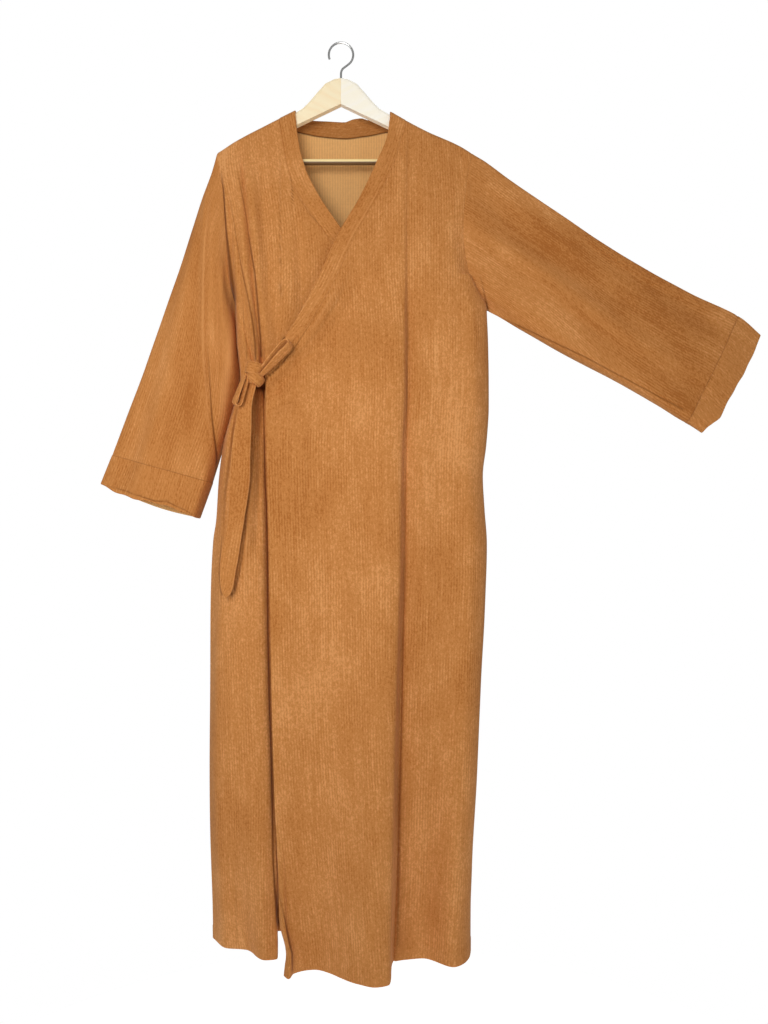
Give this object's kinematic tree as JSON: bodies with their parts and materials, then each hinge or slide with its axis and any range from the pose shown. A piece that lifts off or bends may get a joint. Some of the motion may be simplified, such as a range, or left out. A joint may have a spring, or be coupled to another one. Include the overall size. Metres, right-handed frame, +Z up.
{
  "type": "wrap abaya on a wooden hanger",
  "caption": "Long wrap-front corduroy abaya with banded neck, tied at the side, hanging open-sleeved on a pale wooden hanger.",
  "frame": {"origin": "underside of the hook's crown, where a rail carries the hanger", "axes": "+Z up, -Y out of the garment's front, +X towards the wearer's left sleeve, at the right of someone facing the front"},
  "size_m": [1.1224, 0.2109, 1.5538],
  "materials": {
    "body_cloth": "wide-wale cotton corduroy, brushed pile, wales upright",
    "sleeve_cloth": "wide-wale cotton corduroy, wales along the sleeve",
    "cuff_cloth": "wide-wale cotton corduroy, two layers",
    "band_cloth": "wide-wale cotton corduroy, folded double along the band",
    "tie_cloth": "wide-wale cotton corduroy, sewn double and turned",
    "pale_wood": "sanded pale hardwood, clear satin lacquer",
    "tan_wood": "sanded pale hardwood, clear satin lacquer",
    "bar_wood": "turned pale hardwood, clear satin lacquer",
    "hook_steel": "bright drawn steel wire"
  },
  "bodies": {
    "root": {"back": "body_cloth", "back_neck_band": "band_cloth", "cuff_left": "cuff_cloth", "cuff_right": "cuff_cloth", "hanger_arm_left": "pale_wood", "hanger_arm_right": "tan_wood", "hanger_bar": "bar_wood", "hook": "hook_steel", "left_front": "body_cloth", "left_front_band": "band_cloth", "right_front": "body_cloth", "right_front_band": "band_cloth", "sleeve_left": "sleeve_cloth", "sleeve_right": "sleeve_cloth", "tie_end": "tie_cloth", "tie_knot": "tie_cloth", "tie_loop_long": "tie_cloth", "tie_loop_short": "tie_cloth"}
  },
  "joints": []
}
